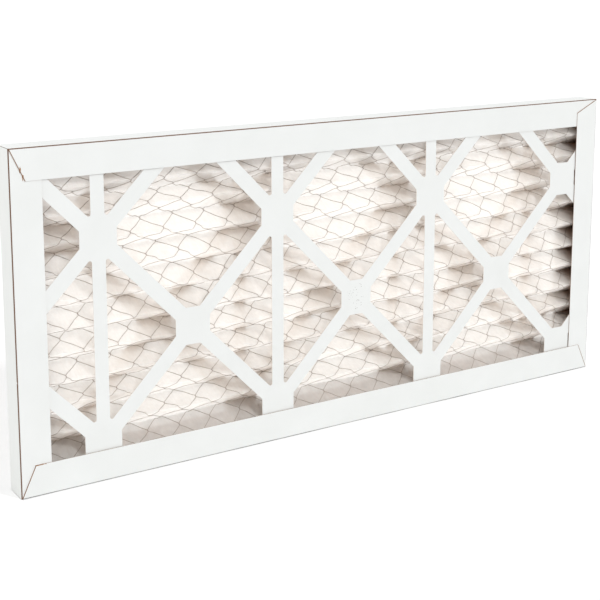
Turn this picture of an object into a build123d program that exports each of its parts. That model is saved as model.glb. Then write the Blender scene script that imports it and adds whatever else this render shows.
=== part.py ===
"""Pleated panel air filter.

One die-cut beverage-board strip is folded round the panel as a channel. It holds two die-cut board
lattices, and between them a pleated sheet of non-woven media with an expanded-metal mesh on its front.

The panel stands on its long bottom edge: X runs along its length, Y through its depth with the front at
-Y, and Z up. The origin is at the middle of the bottom edge. Sizes are in millimetres.
"""

from build123d import *
from math import atan2, ceil, degrees, hypot, radians, sin, sqrt, tan
import os

# Panel
panel_length = 749.3
panel_height = 342.9
panel_depth = 31.75

# Board channel
board = 0.6
flange_width = 31.75
flap_inset = 15.0  # how far a flap's slanted end runs in over the flange's width
glue_tab = 24.0  # tab that closes the strip, inside the left wall at the bottom corner

# Die-cut lattices
lattice_board = 0.6
wall_clearance = 1.0  # from the channel's walls to what lies inside it
lattice_border = 12.0
web_width = 16.0
bar_width = 14.5
node_square = 39.4
barred_node = 34.0  # height of the node on a barred column, short of the corners between bar and webs
window_radius = 2.2
tight_angle = 70.0  # a window's corner that is narrower than this is rounded
smallest_window = 250.0  # mm2: a smaller corner of the pattern isn't cut out
column_pitch = 101.6
row_pitch = 103.9
first_column = 87.2  # from the left end of the panel to the first node
first_row = 94.5  # from the top of the panel to the upper nodes
barred_columns = (0, 2, 4)
rear_shift = 4.0  # how far the turned-over rear lattice sits towards +X

# Pleated media
face_count = 25  # flat faces, from the rear at the top to the front at the bottom
media_thickness = 1.2
fold_radius = 1.0  # outside of a fold
tip_clearance = 0.05  # from a fold to the lattice it is glued to

# Expanded-metal mesh on the front of the media
mesh_thickness = 0.5
mesh_gap = 0.05  # glue line
mesh_margin = 4.0  # from the ends of the media to the ends of the mesh
strand_width = 0.9
strand_spacing = 72.4  # every second strand of the real mesh
flat_strand_angle = 45.0  # between a strand and the panel's length, on the flat sheet
crossing_along = 378.0  # from the left end of the panel to one crossing
crossing_down = 305.4  # from the top edge down the flat sheet to that crossing

same_place = 0.05  # points nearer than this are one point

os.makedirs("parts", exist_ok=True)

half_length = panel_length / 2
half_depth = panel_depth / 2
front_seat = half_depth - 2 * board  # inner side of the lowest flap, where a lattice lies
inner_face = front_seat - lattice_board  # inner side of a lattice


# Perimeter frame. A flap lies one board higher where it laps over its neighbour. Going round, each side
# is (near end, far end, way into the panel, level of its flap at the near end, and at the far end).
left_bottom, left_top = Vector(-half_length, 0, 0), Vector(-half_length, 0, panel_height)
right_bottom, right_top = Vector(half_length, 0, 0), Vector(half_length, 0, panel_height)
sides = (
    (left_bottom, left_top, Vector(1, 0, 0), 0, 0),
    (left_top, right_top, Vector(0, 0, -1), 1, 0),
    (right_top, right_bottom, Vector(-1, 0, 0), 1, 0),
    (right_bottom, left_bottom, Vector(0, 0, 1), 1, 1),
)


def at_level(corner, level, face):
    """The outer corner of a flap at its level. face is -1 at the front and 1 at the rear."""
    return corner + Vector(0, face * (half_depth - (1 - level) * board), 0)


def fold_in_flap(near, far, inwards, face):
    """A trapezoid flap along the fold from near to far, one board thick, lying into the panel."""
    run = far - near
    plane = Plane(origin=(near + far) / 2, x_dir=run, z_dir=run.cross(inwards))
    half_run = run.length / 2
    with BuildSketch(plane) as outline:
        with BuildLine():
            Polyline(
                (-half_run, 0),
                (half_run, 0),
                (half_run - flap_inset, flange_width),
                (flap_inset - half_run, flange_width),
                close=True,
            )
        make_face()
    towards_middle = -face if plane.z_dir.Y > 0 else face
    extrude(outline.sketch, amount=towards_middle * board)


with BuildPart() as perimeter_frame:
    for near, far, inwards, near_level, far_level in sides:
        front = at_level(near, near_level, -1), at_level(far, far_level, -1)
        rear = at_level(near, near_level, 1), at_level(far, far_level, 1)
        wall = Plane(origin=near, x_dir=far - near, z_dir=inwards)
        with BuildSketch(wall):
            with BuildLine():
                corners = [wall.to_local_coords(p) for p in (front[0], front[1], rear[1], rear[0])]
                Polyline(*[(c.X, c.Y) for c in corners], close=True)
            make_face()
        extrude(amount=board)
        fold_in_flap(*front, inwards, -1)
        fold_in_flap(*rear, inwards, 1)
    # The glue tab stands on the bottom wall, against the inside of the left wall.
    tab_plane = Plane(origin=(-half_length + board, 0, 0), x_dir=(0, 1, 0), z_dir=(1, 0, 0))
    with BuildSketch(tab_plane):
        with Locations((0, glue_tab / 2)):
            Rectangle(2 * inner_face, glue_tab)
    extrude(amount=board)
perimeter_frame.part.label = "perimeter_frame"
export_step(perimeter_frame.part, "parts/perimeter_frame.step")


# Lattices. Both are cut with the same die, and the rear one is turned over end for end. A node lies
# where column and row numbers are both even or both odd, and webs cross at it.
sheet_length = panel_length - 2 * (board + wall_clearance)
sheet_height = panel_height - 2 * (board + wall_clearance)
web_angle = degrees(atan2(row_pitch, column_pitch))
web_reach = 2 * hypot(panel_length, panel_height)


def tight_corners(window):
    """The corners of a window that its two edges close to less than tight_angle."""
    corners = []
    for corner in window.vertices():
        ways = [
            edge.center() - corner.center()
            for edge in window.edges()
            if min((end.center() - corner.center()).length for end in edge.vertices()) < same_place
        ]
        if ways[0].get_angle(ways[1]) < tight_angle:
            corners.append(corner)
    return corners


def lattice(face, turn, shift):
    """The die-cut sheet, cut through inwards from its outer side. turn is -1 when it is turned over."""

    def place(column, row):
        along = first_column + column * column_pitch - half_length
        return turn * along + shift, panel_height / 2 - first_row - row * row_pitch

    columns = range(-ceil(web_reach / column_pitch), ceil(web_reach / column_pitch))
    rows = range(-ceil(panel_height / row_pitch), ceil(panel_height / row_pitch))
    nodes = [(column, row) for row in rows for column in columns if (row + column) % 2 == 0]
    crossed = [place(column, row) for column, row in nodes if row == 0]
    barred = [place(column, row) for column, row in nodes if column in barred_columns]
    plain = [place(column, row) for column, row in nodes if column not in barred_columns]
    bars = [(place(column, 0)[0], 0) for column in barred_columns]
    with BuildSketch(Plane.XY) as windows:
        Rectangle(sheet_length - 2 * lattice_border, sheet_height - 2 * lattice_border)
        with Locations(*crossed):
            Rectangle(web_reach, web_width, rotation=web_angle, mode=Mode.SUBTRACT)
            Rectangle(web_reach, web_width, rotation=-web_angle, mode=Mode.SUBTRACT)
        with Locations(*bars):
            Rectangle(bar_width, sheet_height, mode=Mode.SUBTRACT)
        with Locations(*plain):
            Rectangle(node_square, node_square, mode=Mode.SUBTRACT)
        with Locations(*barred):
            Rectangle(node_square, barred_node, mode=Mode.SUBTRACT)
    cut_out = [w for w in windows.sketch.faces() if w.area > smallest_window]
    plane = Plane(origin=(0, face * front_seat, panel_height / 2), x_dir=(1, 0, 0), z_dir=(0, -1, 0))
    with BuildSketch(Plane.XY) as sheet:
        Rectangle(sheet_length, sheet_height)
        for window in cut_out:
            rounded = tight_corners(window)
            shortest = min(edge.length for edge in window.edges())
            if rounded:
                window = window.fillet_2d(min(window_radius, shortest / 5), rounded)
            add(window, mode=Mode.SUBTRACT)
    extrude(plane * sheet.sketch, amount=face * lattice_board)


with BuildPart() as front_lattice:
    lattice(-1, 1, 0)
front_lattice.part.label = "front_lattice"
export_step(front_lattice.part, "parts/front_lattice.step")

with BuildPart() as rear_lattice:
    lattice(1, -1, rear_shift)
rear_lattice.part.label = "rear_lattice"
export_step(rear_lattice.part, "parts/rear_lattice.step")


# Pleats. Every layer of the pleated pack is the same zigzag, moved along Y. A layer whose surface is
# a distance off the media's middle lies that distance over the sine of the face's angle further out.
half_pitch = (panel_height - 2 * (board + wall_clearance)) / face_count
pack_room = 2 * (inner_face - tip_clearance)
front_build = media_thickness / 2 + mesh_gap + mesh_thickness
rear_build = media_thickness / 2 - fold_radius
sloped_build = (front_build + rear_build) / half_pitch
straight_room = pack_room - fold_radius
# pleat_depth + sloped_build * hypot(half_pitch, pleat_depth) = straight_room, solved for pleat_depth
curve = 1 - sloped_build**2
pleat_depth = (
    straight_room - sqrt(straight_room**2 - curve * (straight_room**2 - (sloped_build * half_pitch) ** 2))
) / curve
face_length = hypot(half_pitch, pleat_depth)
per_offset = face_length / half_pitch  # Y travel for each unit of distance off the surface
ridge_y = -inner_face + tip_clearance + front_build * per_offset


def zigzag(offset):
    """Fold points of the surface at this distance off the media's middle, front positive, from the top."""
    top_edge = panel_height - board - wall_clearance
    depths = [ridge_y + (0 if k % 2 else pleat_depth) for k in range(face_count + 1)]
    return [(y - offset * per_offset, top_edge - k * half_pitch) for k, y in enumerate(depths)]


def pleated_layer(outer, inner, length):
    """A layer between two offsets, closed at its top and bottom edges and centred along X."""
    with BuildSketch(Plane.YZ.offset(-length / 2)) as section:
        with BuildLine():
            Polyline(*zigzag(outer), *reversed(zigzag(inner)), close=True)
        make_face()
    return section.sketch


media_length = panel_length - 2 * (board + wall_clearance)
with BuildPart() as pleated_media:
    extrude(pleated_layer(media_thickness / 2, -media_thickness / 2, media_length), amount=media_length)
    # Outside edges of the folds: the front surface at the ridges and the rear surface at the valleys.
    along = pleated_media.edges().filter_by(Axis.X)
    front_folds = zigzag(media_thickness / 2)[1:-1:2]
    rear_folds = zigzag(-media_thickness / 2)[2:-1:2]
    tips = [
        edge
        for edge in along
        for y, z in front_folds + rear_folds
        if abs(edge.center().Y - y) + abs(edge.center().Z - z) < same_place
    ]
    fillet(tips, fold_radius)
    # The top edge of the sheet is a free one at the rear, cut off flat behind the lattice.
    with Locations((0, 0, panel_height / 2)):
        Box(media_length, 2 * inner_face - tip_clearance, panel_height, mode=Mode.INTERSECT)
pleated_media.part.label = "pleated_media"
export_step(pleated_media.part, "parts/pleated_media.step")


# A strand that is straight on the flat sheet stays straight in the front view of the pleats. The grid
# of strands is placed by one crossing.
mesh_length = media_length - 2 * mesh_margin
face_advance = face_length / tan(radians(flat_strand_angle))
strand_angle = degrees(atan2(half_pitch, face_advance))
drawn_width = strand_width * hypot(face_advance, face_length) / face_length * sin(radians(strand_angle))
strand_count = 2 * ceil((mesh_length + panel_height * face_advance / half_pitch) / strand_spacing / 2) + 1
crossing_x = crossing_along - half_length
crossing_z = panel_height - board - wall_clearance - crossing_down * half_pitch / face_length
with BuildPart() as wire_mesh:
    mesh_inner = media_thickness / 2 + mesh_gap
    extrude(pleated_layer(mesh_inner + mesh_thickness, mesh_inner, mesh_length), amount=mesh_length)
    with BuildSketch(Plane.XZ.offset(-half_depth)):
        with Locations((crossing_x, crossing_z)):
            with GridLocations(strand_spacing, 1, strand_count, 1):
                for way in (1, -1):
                    Rectangle(web_reach, drawn_width, rotation=way * strand_angle)
    extrude(amount=panel_depth, mode=Mode.INTERSECT)
wire_mesh.part.label = "wire_mesh"
export_step(wire_mesh.part, "parts/wire_mesh.step")
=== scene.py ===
from math import radians

import bmesh
import bpy
import numpy as np
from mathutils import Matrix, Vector


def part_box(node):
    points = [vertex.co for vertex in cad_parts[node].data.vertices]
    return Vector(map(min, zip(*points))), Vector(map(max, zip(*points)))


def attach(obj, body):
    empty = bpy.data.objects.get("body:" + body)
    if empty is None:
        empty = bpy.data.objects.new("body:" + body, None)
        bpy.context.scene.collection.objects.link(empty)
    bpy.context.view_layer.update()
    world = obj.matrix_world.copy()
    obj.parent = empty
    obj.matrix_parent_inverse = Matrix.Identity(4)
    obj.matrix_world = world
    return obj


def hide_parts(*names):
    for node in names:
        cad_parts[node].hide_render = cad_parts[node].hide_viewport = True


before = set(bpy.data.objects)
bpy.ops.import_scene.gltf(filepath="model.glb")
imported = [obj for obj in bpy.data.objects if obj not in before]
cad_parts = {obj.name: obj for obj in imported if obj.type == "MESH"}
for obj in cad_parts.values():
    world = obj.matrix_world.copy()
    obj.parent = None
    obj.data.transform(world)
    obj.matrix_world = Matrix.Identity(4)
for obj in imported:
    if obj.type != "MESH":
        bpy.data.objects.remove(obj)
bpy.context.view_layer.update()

# Board channel.
# One strip of beverage board, clay-coated white outside and bare kraft inside, die-cut, creased and
# folded round the panel. Its flaps lap over each other at the corners and are glued.
mm = 0.001
low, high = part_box("perimeter_frame")
panel_depth = high.y - low.y
board = 0.6 * mm
flange = 31.75 * mm
flap_inset = 15 * mm  # how far a flap's slanted end runs in over its width
crease_radius = 1.0 * mm
arc_points = 5  # along a crease's quarter circle
wall_setback = 0.3 * mm  # each wall stops inside its neighbour's board
edge_rub = 0.7 * mm  # how far the coat is rubbed off along a flap's slanted end
side_rings = 38  # profiles along a side, between its rubbed ends
glue_tab = 24 * mm
tab_clearance = 3 * board  # between the tab's long edges and the front and rear faces


def linear(hex_colour):
    """An sRGB hex colour as linear RGBA: each channel through the sRGB curve."""
    srgb = np.array([int(hex_colour[i:i + 2], 16) for i in (1, 3, 5)]) / 255
    return (*np.where(srgb <= 0.04045, srgb / 12.92, ((srgb + 0.055) / 1.055) ** 2.4), 1.0)


def add_node(tree, kind, links=(), **settings):
    """A node of this kind. links are (input, output socket) pairs; settings are attributes, or inputs
    with their spaces written as underscores."""
    node = tree.nodes.new(kind)
    for name, value in settings.items():
        if hasattr(node, name):
            setattr(node, name, value)
        else:
            node.inputs[name.replace("_", " ")].default_value = value
    for name, socket in links:
        tree.links.new(socket, node.inputs[name])
    return node


def new_material(name):
    """An empty node material, with its tree and its output node."""
    material = bpy.data.materials.new(name)
    material.use_nodes = True
    tree = material.node_tree
    tree.nodes.clear()
    return material, tree, add_node(tree, "ShaderNodeOutputMaterial")


def add_piece(name, points, faces, slots=None):
    """A piece from its points and faces, with each face's material slot."""
    mesh = bpy.data.meshes.new(name)
    mesh.from_pydata(np.asarray(points).reshape(-1, 3), [], faces)
    if slots is not None:
        mesh.polygons.foreach_set("material_index", np.asarray(slots, np.int32))
    piece = bpy.data.objects.new(name, mesh)
    bpy.context.scene.collection.objects.link(piece)
    return piece


def face_outwards(piece):
    """Turns the faces of a closed piece outwards."""
    shell = bmesh.new()
    shell.from_mesh(piece.data)
    bmesh.ops.recalc_face_normals(shell, faces=shell.faces)
    shell.to_mesh(piece.data)
    shell.free()


# The profile, from the front flap's cut edge round the wall to the rear one: how far in over the
# panel each point lies, on which face, and how deep under that face. The arcs are quarter circles.
arc = np.radians(np.linspace(0, 90, arc_points))
turn_in, turn_down = crease_radius * (1 - np.sin(arc)), crease_radius * (1 - np.cos(arc))
outer_in = np.concatenate([[flange], turn_in, turn_in[::-1], [flange]])
outer_down = np.concatenate([[0], turn_down, turn_down[::-1], [0]])
inner_turn = crease_radius - (crease_radius - board) * np.sin(arc)
inner_sink = crease_radius - (crease_radius - board) * np.cos(arc)
inner_in = np.concatenate([[flange], inner_turn, inner_turn[::-1], [flange]])
inner_down = np.concatenate([[board], inner_sink, inner_sink[::-1], [board]])
profile_in = np.concatenate([outer_in, inner_in[::-1]])
profile_down = np.concatenate([outer_down, inner_down[::-1]])
profile_size = len(profile_in)
outer_size = len(outer_in)
profile_face = np.repeat([-1, 1, 1, -1], outer_size // 2)

# The channel's material slots. The last is a crease painted grey as shade, for the bottom and right
# front folds.
COATED, KRAFT, CREASE, WORN, SHADED_FOLD = range(5)


def channel_side(near, far, inward, near_level, far_level, fold):
    """One side of the channel: the profile carried from near to far. A point that lies in over the
    panel by d starts and ends later by d times flap_inset / flange. The flaps' level, in boards, runs
    evenly from one end to the other. fold is the slot of the front fold."""
    near, far, inward = np.array(near), np.array(far), np.array(inward)
    run = np.linalg.norm(far - near)
    along = (far - near) / run
    rings = np.linspace(edge_rub / run, 1 - edge_rub / run, side_rings)
    share = np.concatenate([[0], rings, [1]])[:, None]
    start = wall_setback + profile_in * flap_inset / flange
    place = start + share * (run - 2 * start)
    half = panel_depth / 2 - (1 - near_level - share * (far_level - near_level)) * board
    depth = profile_face * (half - profile_down)
    points = near + place[..., None] * along + profile_in[:, None] * inward
    points = points + depth[..., None] * np.array([0, 1, 0])
    index = np.arange(points.shape[0] * profile_size).reshape(-1, profile_size)
    loop = np.concatenate([index, index[:, :1]], 1)
    quads = np.stack([loop[:-1, :-1], loop[:-1, 1:], loop[1:, 1:], loop[1:, :-1]], -1)
    ring_slots = np.full(profile_size, KRAFT)
    ring_slots[:outer_size - 1] = COATED
    ring_slots[1:arc_points] = fold
    ring_slots[[outer_size - 1, -1]] = WORN  # the flaps' cut edges
    slots = np.tile(ring_slots, (len(quads), 1))
    slots[[0, 0, -1, -1], [0, outer_size - 2, 0, outer_size - 2]] = WORN  # their rubbed ends
    outer = np.arange(outer_size)
    inner = profile_size - 1 - outer
    cap = np.stack([outer[:-1], outer[1:], inner[1:], inner[:-1]], -1)
    faces = np.concatenate([quads.reshape(-1, 4), index[0][cap], index[-1][cap]])
    return points.reshape(-1, 3), faces, np.append(slots.ravel(), np.full(2 * len(cap), WORN))


left_bottom, left_top = (low.x, 0, low.z), (low.x, 0, high.z)
right_bottom, right_top = (high.x, 0, low.z), (high.x, 0, high.z)
parts = [
    channel_side(left_bottom, left_top, (1, 0, 0), 0, 0, CREASE),
    channel_side(left_top, right_top, (0, 0, -1), 1, 0, CREASE),
    channel_side(right_top, right_bottom, (-1, 0, 0), 1, 0, SHADED_FOLD),
    channel_side(right_bottom, left_bottom, (0, 0, 1), 1, 1, SHADED_FOLD),
]
# The glue tab stands on the bottom wall, against the inside of the left wall.
tab_low = np.array([low.x + board, low.y + tab_clearance, low.z + board])
tab_high = np.array([low.x + 2 * board, high.y - tab_clearance, low.z + glue_tab])
tab_corners = np.array([[0, 0, 0], [1, 0, 0], [1, 1, 0], [0, 1, 0],
                        [0, 0, 1], [1, 0, 1], [1, 1, 1], [0, 1, 1]])
tab_faces = np.array([[0, 3, 2, 1], [4, 5, 6, 7], [0, 1, 5, 4],
                      [1, 2, 6, 5], [2, 3, 7, 6], [3, 0, 4, 7]])
tab_points = tab_low + tab_corners * (tab_high - tab_low)
parts.append((tab_points, tab_faces, np.full(len(tab_faces), KRAFT)))
firsts = np.cumsum([0] + [len(points) for points, _, _ in parts])
channel = add_piece(
    "board_channel",
    np.concatenate([points for points, _, _ in parts]),
    np.concatenate([faces + first for (_, faces, _), first in zip(parts, firsts)]),
    np.concatenate([slots for _, _, slots in parts]),
)
face_outwards(channel)

# Clay-coated kraft board: a calendered white coat that is smooth and barely glossy, with a faint
# cloud from the fibres under it. The board bows a little, which a long shallow bump gives.
board_white = linear("#eaeceb")
board_cloud = linear("#e2e4e2")
kraft_light = linear("#a37c5c")
kraft_dark = linear("#7a563c")
kraft_worn = linear("#6a4a37")
# Painted shade for the bottom and right front folds, in two greys mixed by noise
fold_shade_grey = linear("#7d7d7b")
fold_shade_pale = linear("#c4c4c1")
board_roughness = 0.55
coat_ior = 1.5
cloud_size = 40 * mm
board_fibre, fibre_relief, fibre_strength = 1.5 * mm, 0.1 * mm, 0.3
bow_size, bow_relief, bow_strength = 140 * mm, 4 * mm, 0.5
kraft_streak = 6 * mm
handled_patch = 12 * mm
crack_size = 9 * mm
crack_coverage = 0.72  # noise above this is coat that is left
fold_shade_size = 70 * mm
fold_shade_least, fold_shade_most = 0.35, 0.65  # noise from all grey to all pale
# Rubbed places along the mitres and the flaps' edges: x and z of each, and its reach along both
torn_spots = [
    (low.x + 11 * mm, high.z - 20.5 * mm, 1.6 * mm, 6 * mm),
    (low.x + 13.5 * mm, high.z - 28 * mm, 1.3 * mm, 6 * mm),
    (low.x + 20 * mm, low.z + 31.5 * mm, 12 * mm, 0.9 * mm),
]
torn_depth = 20 * mm  # a spot's reach back from the front face
torn_grain = 2.2 * mm


def mottled(tree, place, grain, detail, first, second):
    """Two colours mixed by noise of this grain."""
    noise = add_node(tree, "ShaderNodeTexNoise", [("Vector", place.outputs["Object"])],
                     Scale=1 / grain, Detail=detail)
    mix = add_node(tree, "ShaderNodeMix", [("Factor", noise.outputs["Fac"])],
                   data_type="RGBA", A=first, B=second)
    return mix.outputs["Result"]


def blot(tree, place, centre, reach, grain):
    """1 in a ragged blot round centre, else 0: where noise of this grain beats the distance from the
    centre, each axis measured in its own reach."""
    point = add_node(tree, "ShaderNodeVectorMath", [(0, place.outputs["Object"])],
                     operation="SUBTRACT")
    point.inputs[1].default_value = centre
    shrunk = add_node(tree, "ShaderNodeVectorMath", [(0, point.outputs["Vector"])],
                      operation="DIVIDE")
    shrunk.inputs[1].default_value = reach
    away = add_node(tree, "ShaderNodeVectorMath", [(0, shrunk.outputs["Vector"])],
                    operation="LENGTH")
    rag = add_node(tree, "ShaderNodeTexNoise", [("Vector", place.outputs["Object"])],
                   Scale=1 / grain, Detail=3.0)
    inside = add_node(tree, "ShaderNodeMath",
                      [(0, rag.outputs["Fac"]), (1, away.outputs["Value"])],
                      operation="GREATER_THAN")
    return inside.outputs["Value"]


def stain(tree, base, mask, colour):
    """base with this colour laid over it where mask is 1."""
    mix = add_node(tree, "ShaderNodeMix", [("Factor", mask), ("A", base)],
                   data_type="RGBA", B=colour)
    return mix.outputs["Result"]


def board_normal(tree, place):
    """The board's surface: fibres that show through the coat, on a long shallow bow."""
    fibre = add_node(tree, "ShaderNodeTexNoise", [("Vector", place.outputs["Object"])],
                     Scale=1 / board_fibre, Detail=4.0)
    bow = add_node(tree, "ShaderNodeTexNoise", [("Vector", place.outputs["Object"])],
                   Scale=1 / bow_size, Detail=1.0)
    fine = add_node(tree, "ShaderNodeBump", [("Height", fibre.outputs["Fac"])],
                    Strength=fibre_strength, Distance=fibre_relief)
    long = add_node(tree, "ShaderNodeBump",
                    [("Height", bow.outputs["Fac"]), ("Normal", fine.outputs["Normal"])],
                    Strength=bow_strength, Distance=bow_relief)
    return long.outputs["Normal"]


def board_material(name, colour_from):
    """A board's finish: matt, in the colour that colour_from works out."""
    material, tree, output = new_material(name)
    place = add_node(tree, "ShaderNodeTexCoord")
    shader = add_node(tree, "ShaderNodeBsdfPrincipled",
                      [("Normal", board_normal(tree, place)),
                       ("Base Color", colour_from(tree, place))],
                      Roughness=board_roughness, IOR=coat_ior)
    tree.links.new(shader.outputs["BSDF"], output.inputs["Surface"])
    return material


def coat_colour(tree, place):
    """The coat's colour: two whites mixed by a cloud of noise."""
    return mottled(tree, place, cloud_size, 3.0, board_white, board_cloud)


def torn_coat(tree, place):
    """The coat with torn spots, where the corners of the flaps were rubbed down to the kraft."""
    colour = coat_colour(tree, place)
    for x, z, reach_x, reach_z in torn_spots:
        mask = blot(tree, place, (x, low.y, z), (reach_x, torn_depth, reach_z), torn_grain)
        colour = stain(tree, colour, mask, kraft_light)
    return colour


def kraft_colour(tree, place):
    """Kraft paper: two browns mixed by streaks of fibre."""
    return mottled(tree, place, kraft_streak, 4.0, kraft_light, kraft_dark)


def worn_edge(tree, place):
    """A cut edge of the board: kraft darkened by handling, in two browns mixed by noise."""
    return mottled(tree, place, handled_patch, 3.0, kraft_worn, kraft_light)


def worn_crease(tree, place):
    """A crease where the coat has cracked along the fold: worn kraft with bits of coat left."""
    bits = add_node(tree, "ShaderNodeTexNoise", [("Vector", place.outputs["Object"])],
                    Scale=1 / crack_size, Detail=3.0)
    left = add_node(tree, "ShaderNodeMath", [(0, bits.outputs["Fac"])], operation="GREATER_THAN")
    left.inputs[1].default_value = crack_coverage
    mix = add_node(tree, "ShaderNodeMix", [("Factor", left.outputs["Value"])],
                   data_type="RGBA", A=kraft_worn, B=board_cloud)
    return mix.outputs["Result"]


def painted_shade_crease(tree, place):
    """A whole crease, painted grey in patches as the shade along the bottom and right front edges."""
    patch = add_node(tree, "ShaderNodeTexNoise", [("Vector", place.outputs["Object"])],
                     Scale=1 / fold_shade_size, Detail=4.0)
    spread = add_node(tree, "ShaderNodeMapRange", [("Value", patch.outputs["Fac"])],
                      From_Min=fold_shade_least, From_Max=fold_shade_most)
    mix = add_node(tree, "ShaderNodeMix", [("Factor", spread.outputs["Result"])],
                   data_type="RGBA", A=fold_shade_grey, B=fold_shade_pale)
    return mix.outputs["Result"]


# In the order of the slots, from COATED to the last, the crease painted grey as shade
channel_finishes = (
    ("clay_coated_board", torn_coat),
    ("kraft_paper", kraft_colour),
    ("cracked_crease", worn_crease),
    ("worn_kraft_edge", worn_edge),
    ("painted_shade_crease", painted_shade_crease),
)
for name, colour_from in channel_finishes:
    channel.data.materials.append(board_material(name, colour_from))
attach(channel, "root")
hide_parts("perimeter_frame")

# Lattices.
# Two die-cut sheets of the same board, coated side out, glued inside the flaps to hold the pleats.
# The rear one is turned over, so its kraft side faces the pleats as well.
speck_middle = (16.5 * mm, 0, 146.4 * mm)  # of the node that carries the grey specks
speck_reach = (33.6 * mm, 1, 33.6 * mm)  # so far in depth that only x and z count
speck_spacing = 2.6 * mm
speck_size = 0.16  # share of the spacing
speck_grain = 9 * mm  # of the patch's ragged edge
speck_grey = linear("#8f8a86")
back_liner = linear("#dccfc5")
coated_facing = 0.5  # a face is coated where its normal goes further outward than this


def specked(tree, place, coat):
    """The coat with grey specks round speck_middle: dots about the middles of Voronoi cells."""
    dots = add_node(tree, "ShaderNodeTexVoronoi", [("Vector", place.outputs["Object"])],
                    Scale=1 / speck_spacing, Randomness=1.0)
    dot = add_node(tree, "ShaderNodeMath", [(0, dots.outputs["Distance"])], operation="LESS_THAN")
    dot.inputs[1].default_value = speck_size
    near = blot(tree, place, speck_middle, speck_reach, speck_grain)
    speck = add_node(tree, "ShaderNodeMath", [(0, dot.outputs["Value"]), (1, near)],
                     operation="MULTIPLY")
    return stain(tree, coat, speck.outputs["Value"], speck_grey)


def lattice_finish(name, outward):
    """Board whose coated side faces along outward; its back and its cut edges are bare liner."""
    def colour(tree, place):
        """Coat on the outward side, liner on the rest, picked by the face's direction."""
        facing = add_node(tree, "ShaderNodeVectorMath", [(0, place.outputs["Normal"])],
                          operation="DOT_PRODUCT")
        facing.inputs[1].default_value = outward
        coated = add_node(tree, "ShaderNodeMath", [(0, facing.outputs["Value"])],
                          operation="GREATER_THAN")
        coated.inputs[1].default_value = coated_facing
        coat = coat_colour(tree, place)
        if outward[1] < 0:
            coat = specked(tree, place, coat)
        mix = add_node(tree, "ShaderNodeMix", [("Factor", coated.outputs["Value"]), ("B", coat)],
                       data_type="RGBA", A=back_liner)
        return mix.outputs["Result"]
    return board_material(name, colour)


def dress(node, material):
    """Gives a CAD node's object this one material."""
    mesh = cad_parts[node].data
    mesh.materials.clear()
    mesh.materials.append(material)


dress("front_lattice", lattice_finish("die_cut_board_front", (0, -1, 0)))
dress("rear_lattice", lattice_finish("die_cut_board_rear", (0, 1, 0)))

# Pleated media.
# One sheet of white non-woven fibre, scored and folded into 25 faces between the lattices, its fold
# tips glued to them. The folds wander a little and the faces bulge, as a soft sheet's do.
face_count = 25
media_low, media_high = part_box("pleated_media")
media_thickness = 1.2 * mm
half_pitch = (media_high.z - media_low.z) / face_count
ridge_y = -11.58 * mm  # middle of the sheet at the front folds
valley_y = 13.88 * mm  # and at the rear folds
face_length = np.hypot(half_pitch, valley_y - ridge_y)
fold_sharpness = 0.994  # at 1 the folds would be sharp edges
bulge_size = 1.3 * mm
# How far the third to the eleventh front folds lie below their even places
ridge_drop = np.zeros(face_count + 2)
ridge_drop[5:22:2] = np.array([-2.5, 0.3, 1.1, 1.9, 1.8, -0.4, -0.6, -2.8, -3.0]) * mm
rng = np.random.default_rng(5)
wander_waves = np.array([310, 118, 47]) * mm
wander_sizes = np.array([0.9, 0.6, 0.35]) * mm
bulge_waves = np.array([210, 96, 52]) * mm
bulge_shares = np.array([0.5, 0.35, 0.25])
dip_share = 0.35  # of a wander: how far the folds dip off the lattices
phases = rng.uniform(0, 2 * np.pi, (3, face_count + 2, 3))
kink_phases = rng.uniform(0, 1, face_count + 2)
kink_pitch = 18.1 * mm  # the folds kink where the mesh strands cross them
kink_size = 0.55 * mm
media_columns = 241


def stray(x, row, which, waves, sizes):
    """Sum of three sine waves along the panel, with this row's own phases."""
    return (np.sin(2 * np.pi * x[..., None] / waves + phases[which][row]) * sizes).sum(-1)


def kink(x, row):
    """Triangle wave along the panel, of size kink_size, with this row's own phase."""
    turn = np.mod(x / kink_pitch + kink_phases[row], 1)
    return kink_size * (1 - 4 * np.abs(turn - 0.5))


def media_surface(x, s):
    """Middle of the sheet at x along the panel and s faces down from its top edge.
    Depth: triangle wave with round tips, asin(k cos(pi s)) / asin(k), between rear and front folds.
    Height: falls evenly with s. The strays and kinks of the folds above and below are blended along
    each face, and a bulge of sin(pi part) is added, part being the share of the face above."""
    fold = np.clip(np.floor(s).astype(int), 0, face_count)
    part = s - fold
    wave = np.arcsin(fold_sharpness * np.cos(np.pi * s)) / np.arcsin(fold_sharpness)
    y = (valley_y + ridge_y) / 2 + (valley_y - ridge_y) / 2 * wave
    drop = (1 - part) * (ridge_drop[fold] - stray(x, fold, 0, wander_waves, wander_sizes))
    drop = drop + part * (ridge_drop[fold + 1] - stray(x, fold + 1, 0, wander_waves, wander_sizes))
    drop = drop + (1 - part) * kink(x, fold) + part * kink(x, fold + 1)
    bulge = np.sin(np.pi * part) * bulge_size * stray(x, fold, 2, bulge_waves, bulge_shares)
    inside = np.clip(np.minimum(s, face_count - s), 0, 1)
    z = media_high.z - s * half_pitch + (bulge - drop) * inside
    dip = (1 - part) * np.abs(stray(x, fold, 1, wander_waves, wander_sizes))
    dip = dip + part * np.abs(stray(x, fold + 1, 1, wander_waves, wander_sizes))
    return np.stack([x, y - np.sign(y) * dip * dip_share, z], -1)


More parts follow.
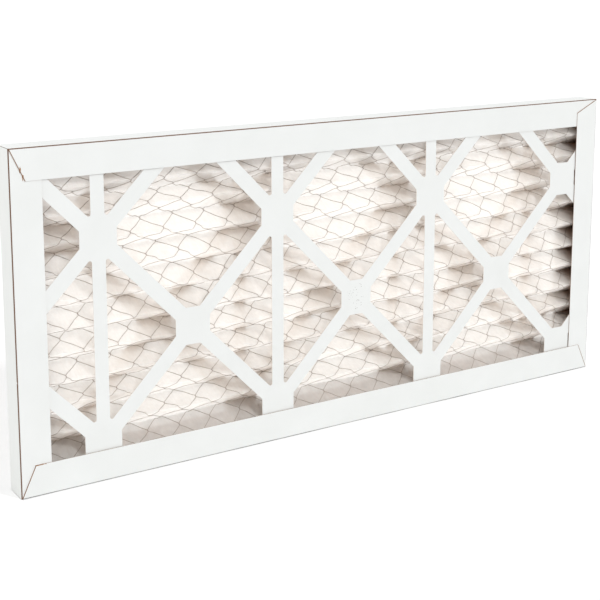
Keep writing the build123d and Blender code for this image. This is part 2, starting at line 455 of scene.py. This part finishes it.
# Rows of points down each face, closer together towards its folds
face_steps = np.array([0, 0.04, 0.11, 0.3, 0.5, 0.7, 0.89, 0.96])
fold_steps = np.append((np.arange(face_count)[:, None] + face_steps).ravel(), face_count)
media_across = np.linspace(media_low.x, media_high.x, media_columns)
x_grid, s_grid = np.meshgrid(media_across, fold_steps)
index = np.arange(x_grid.size).reshape(x_grid.shape)
quads = np.stack([index[:-1, :-1], index[1:, :-1], index[1:, 1:], index[:-1, 1:]], -1)
media = add_piece("pleated_sheet", media_surface(x_grid, s_grid), quads.reshape(-1, 4))
media.data.shade_smooth()
thicken = media.modifiers.new("thickness", "SOLIDIFY")
thicken.thickness = media_thickness
thicken.offset = 0

# Non-woven polyester and cotton: an open web of matt white fibres. Light scatters through it, and
# some passes straight between the fibres, so what lies behind shows as soft dark shapes. The real
# fibres are too fine to show, so the streaks and the fluff are drawn as coarse as bundles of them.
media_white = linear("#fffefc")
media_fibre = linear("#fcf9f6")
# Painted shade: the sheet's colour darkens towards its ends, under the flaps.
painted_end_shade = linear("#c6b5a9")
end_shade_start, end_shade_full = 342 * mm, 364 * mm  # from the middle of the panel
fibre_clump = 7 * mm
fibre_width, fibre_run = 1.6 * mm, 9 * mm
fluff_size, fluff_relief, fluff_strength = 2.2 * mm, 0.3 * mm, 0.4
clump_low, clump_high = 0.3, 0.7  # noise at the least and the most open places
open_least, open_most = 0.28, 0.35  # share of light that passes each side of the web straight
streak_faint, streak_full = 0.35, 0.65  # noise from all white to all fibre
light_through = 0.7  # share of the scattered light that comes out on the far side
web_finish, tree, output = new_material("nonwoven_polyester")
place = add_node(tree, "ShaderNodeTexCoord")
clump = add_node(tree, "ShaderNodeTexNoise", [("Vector", place.outputs["Object"])],
                 Scale=1 / fibre_clump, Detail=5.0)
open_share = add_node(tree, "ShaderNodeMapRange", [("Value", clump.outputs["Fac"])],
                      From_Min=clump_low, From_Max=clump_high,
                      To_Min=open_least, To_Max=open_most)
fluff = add_node(tree, "ShaderNodeTexNoise", [("Vector", place.outputs["Object"])],
                 Scale=1 / fluff_size, Detail=5.0)
bump = add_node(tree, "ShaderNodeBump", [("Height", fluff.outputs["Fac"])],
                Strength=fluff_strength, Distance=fluff_relief)
drawn = add_node(tree, "ShaderNodeMapping", [("Vector", place.outputs["Object"])],
                 Scale=(1 / fibre_width, 1 / fibre_run, 1 / fibre_run))
streak = add_node(tree, "ShaderNodeTexNoise", [("Vector", drawn.outputs["Vector"])],
                  Scale=1.0, Detail=4.0)
shade = add_node(tree, "ShaderNodeMapRange", [("Value", streak.outputs["Fac"])],
                 From_Min=streak_faint, From_Max=streak_full)
tone = add_node(tree, "ShaderNodeMix", [("Factor", shade.outputs["Result"])],
                data_type="RGBA", A=media_white, B=media_fibre)
# Near its ends, where the flaps shade it, the sheet is painted darker as shade and made less open, so
# less light passes.
axes = add_node(tree, "ShaderNodeSeparateXYZ", [("Vector", place.outputs["Object"])])
aside = add_node(tree, "ShaderNodeMath", [(0, axes.outputs["X"])], operation="ABSOLUTE")
end_shade = add_node(tree, "ShaderNodeMapRange", [("Value", aside.outputs["Value"])],
                  interpolation_type="SMOOTHSTEP", From_Min=end_shade_start, From_Max=end_shade_full)
end_shaded_tone = add_node(tree, "ShaderNodeMix",
                [("Factor", end_shade.outputs["Result"]), ("A", tone.outputs["Result"])],
                data_type="RGBA", B=painted_end_shade)
unshaded = add_node(tree, "ShaderNodeMath", [(1, end_shade.outputs["Result"])], operation="SUBTRACT")
unshaded.inputs[0].default_value = 1.0
still_open = add_node(tree, "ShaderNodeMath",
                      [(0, open_share.outputs["Result"]), (1, unshaded.outputs["Value"])],
                      operation="MULTIPLY")
matt = add_node(tree, "ShaderNodeBsdfDiffuse",
                [("Normal", bump.outputs["Normal"]), ("Color", end_shaded_tone.outputs["Result"])])
through = add_node(tree, "ShaderNodeBsdfTranslucent",
                   [("Normal", bump.outputs["Normal"]), ("Color", end_shaded_tone.outputs["Result"])])
fibres = add_node(tree, "ShaderNodeMixShader", [(1, matt.outputs[0]), (2, through.outputs[0])])
fibres.inputs[0].default_value = light_through
gaps = add_node(tree, "ShaderNodeBsdfTransparent", Color=(1, 1, 1, 1))
web = add_node(tree, "ShaderNodeMixShader",
               [(0, still_open.outputs["Value"]), (1, fibres.outputs[0]), (2, gaps.outputs[0])])
tree.links.new(web.outputs[0], output.inputs["Surface"])
media.data.materials.append(web_finish)
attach(media, "root")
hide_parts("pleated_media")

# Expanded-metal mesh.
# Thin steel sheet, slit and stretched into diamonds, glued to the front of the media and folded with
# it. Neighbouring strands touch at the knuckles, which stand in staggered rows.
mesh_low, mesh_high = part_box("wire_mesh")
strand_width = 0.48 * mm
strand_height = 0.4 * mm
knuckle = 3 * mm
diamond_width = 36.2 * mm
row_pitch = 18.1 * mm
first_knuckle = 16 * mm  # of an even row, from the panel's left end
even_row = 305.4 * mm  # an even row's place along the flat sheet, from its top edge
sheet_run = face_count * face_length
row_numbers = np.arange(np.ceil(-even_row / row_pitch) - 1, (sheet_run - even_row) / row_pitch + 1)
row_places = even_row + row_numbers * row_pitch
knuckle_ends = np.sort(np.concatenate([row_places - knuckle / 2, row_places + knuckle / 2]))
knuckle_sides = np.where(np.repeat(row_numbers, 2) % 2 == 0, 1.0, -1.0)
ends_on_sheet = knuckle_ends[(knuckle_ends > 0) & (knuckle_ends < sheet_run)]
run = np.sort(np.concatenate([fold_steps * face_length, ends_on_sheet]))
swing = (diamond_width / 4 - strand_width / 2) * np.interp(run, knuckle_ends, knuckle_sides)
strand_numbers = np.arange(-2, 44)  # past both ends of the panel, where they are left out
centres = low.x + first_knuckle + diamond_width / 4 + strand_numbers * diamond_width / 2
kept = (centres > mesh_low.x + diamond_width / 4) & (centres < mesh_high.x - diamond_width / 4)
sides = np.where(strand_numbers % 2 == 0, -1.0, 1.0)
strand_x = centres[kept][:, None] + sides[kept][:, None] * swing
strand_s = np.broadcast_to(run / face_length, strand_x.shape)
slope_step = 1e-4  # in faces down the sheet and in metres across it


def strand_tubes(x, s, lift):
    """Four-sided tubes along lines on the sheet, lifted off its middle. The corners lie half the width
    either way square to the line, and half the height either way along the sheet's normal."""
    above = media_surface(x, np.clip(s - slope_step, 0, face_count))
    below = media_surface(x, np.clip(s + slope_step, 0, face_count))
    along = media_surface(x + slope_step, s) - media_surface(x - slope_step, s)
    normal = np.cross(below - above, along)
    normal /= np.linalg.norm(normal, axis=-1, keepdims=True)
    line = media_surface(x, s) + normal * lift
    way = np.gradient(line, axis=1)
    way /= np.linalg.norm(way, axis=-1, keepdims=True)
    across = np.cross(normal, way) * strand_width / 2
    up = normal * strand_height / 2
    corners = [line - across - up, line + across - up, line + across + up, line - across + up]
    return np.stack(corners, 2)


tubes = strand_tubes(strand_x, strand_s, media_thickness / 2 + strand_height / 2)
index = np.arange(tubes.size // 3).reshape(tubes.shape[:3])
loop = np.concatenate([index, index[:, :, :1]], 2)
quads = np.stack([loop[:, :-1, :-1], loop[:, :-1, 1:], loop[:, 1:, 1:], loop[:, 1:, :-1]], -1)
ends = np.concatenate([index[:, 0, ::-1], index[:, -1]])
expanded = add_piece("expanded_mesh", tubes, np.concatenate([quads.reshape(-1, 4), ends]))
face_outwards(expanded)

# Galvanised steel sheet: dull grey zinc, with a warm tint painted in as the reflection of the kraft
# round it. Its spangle gives slow changes of tone along a strand.
zinc_light = linear("#b9b1aa")
zinc_dark = linear("#a19993")
zinc_spangle = 4 * mm
zinc_roughness = 0.5
steel, tree, output = new_material("galvanised_steel")
place = add_node(tree, "ShaderNodeTexCoord")
zinc = mottled(tree, place, zinc_spangle, 2.0, zinc_light, zinc_dark)
metal = add_node(tree, "ShaderNodeBsdfPrincipled", [("Base Color", zinc)],
                 Metallic=1.0, Roughness=zinc_roughness)
tree.links.new(metal.outputs["BSDF"], output.inputs["Surface"])
expanded.data.materials.append(steel)
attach(expanded, "root")
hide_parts("wire_mesh")

# Studio.
# White paper floor under a pale surround, lit by three soft lamps: one from the front right, one
# from behind and one from the left. The camera looks down a little, from the panel's front left.
floor_reach = 40.0
floor_drop = 0.2 * mm
paper_white = (0.88, 0.88, 0.88, 1)
paper_glow = (0.17, 0.17, 0.17, 1)
floor_corners = [(x * floor_reach, y * floor_reach, -floor_drop)
                 for x, y in ((-1, -1), (1, -1), (1, 1), (-1, 1))]
floor = add_piece("floor", floor_corners, [(0, 1, 2, 3)])
# Matt paper. It glows a little for the camera alone, so that it shows pure white, and lights nothing.
paper, tree, output = new_material("studio_paper")
seen = add_node(tree, "ShaderNodeLightPath")
matt = add_node(tree, "ShaderNodeBsdfDiffuse", Color=paper_white)
glow = add_node(tree, "ShaderNodeEmission", [("Strength", seen.outputs["Is Camera Ray"])],
                Color=paper_glow)
both = add_node(tree, "ShaderNodeAddShader", [(0, matt.outputs[0]), (1, glow.outputs[0])])
tree.links.new(both.outputs[0], output.inputs["Surface"])
floor.data.materials.append(paper)

# The surround is white to look at, in reflections and through the media, and lights a little less.
surround_light = (0.68, 0.68, 0.683, 1)
surround_white = (1, 1, 1, 1)
world = bpy.data.worlds.new("surround")
bpy.context.scene.world = world
world.use_nodes = True
tree = world.node_tree
tree.nodes.clear()
seen = add_node(tree, "ShaderNodeLightPath")
direct = add_node(tree, "ShaderNodeMath",
                  [(0, seen.outputs["Is Camera Ray"]), (1, seen.outputs["Is Glossy Ray"])],
                  operation="MAXIMUM")
bright = add_node(tree, "ShaderNodeMath",
                  [(0, direct.outputs[0]), (1, seen.outputs["Is Transmission Ray"])],
                  operation="MAXIMUM")
lit = add_node(tree, "ShaderNodeBackground", Color=surround_light)
white = add_node(tree, "ShaderNodeBackground", Color=surround_white)
both = add_node(tree, "ShaderNodeMixShader",
                [(0, bright.outputs[0]), (1, lit.outputs[0]), (2, white.outputs[0])])
add_node(tree, "ShaderNodeOutputWorld", [("Surface", both.outputs[0])])

# Soft lights so far off that they light the floor evenly: a key from the front right, one from
# behind that shines through the pleats, and a warm fill from the left. Each is a name, where it
# comes from, its strength and its colour.
lamps = (
    ("key", (0.4, -0.7, 0.6), 1.35, (1, 1, 1)),
    ("back", (-0.1, 0.97, 0.3), 1.1, (1, 1, 1)),
    ("fill", (-1.0, -0.08, 0.25), 0.65, (1, 0.98, 0.92)),
)
lamp_spread = radians(8)
for name, source, strength, colour in lamps:
    lamp = bpy.data.lights.new(name, "SUN")
    lamp.angle = lamp_spread
    lamp.energy = strength
    lamp.color = colour
    stand = bpy.data.objects.new(name, lamp)
    stand.rotation_euler = Vector(source).to_track_quat("Z", "Y").to_euler()
    bpy.context.scene.collection.objects.link(stand)

camera_place = (-0.7677, -1.1361, 0.5217)
camera_pitch, camera_turn = 10.186, 32.392  # degrees down from level, and to the right of +Y
camera_data = bpy.data.cameras.new("camera")
camera_data.sensor_width = 36
camera_data.lens = 76.5
camera_data.shift_y = -0.2
camera = bpy.data.objects.new("camera", camera_data)
camera.location = camera_place
camera.rotation_euler = (radians(90 - camera_pitch), 0, radians(-camera_turn))
bpy.context.scene.collection.objects.link(camera)
bpy.context.scene.camera = camera
bpy.context.scene.view_settings.view_transform = "Standard"
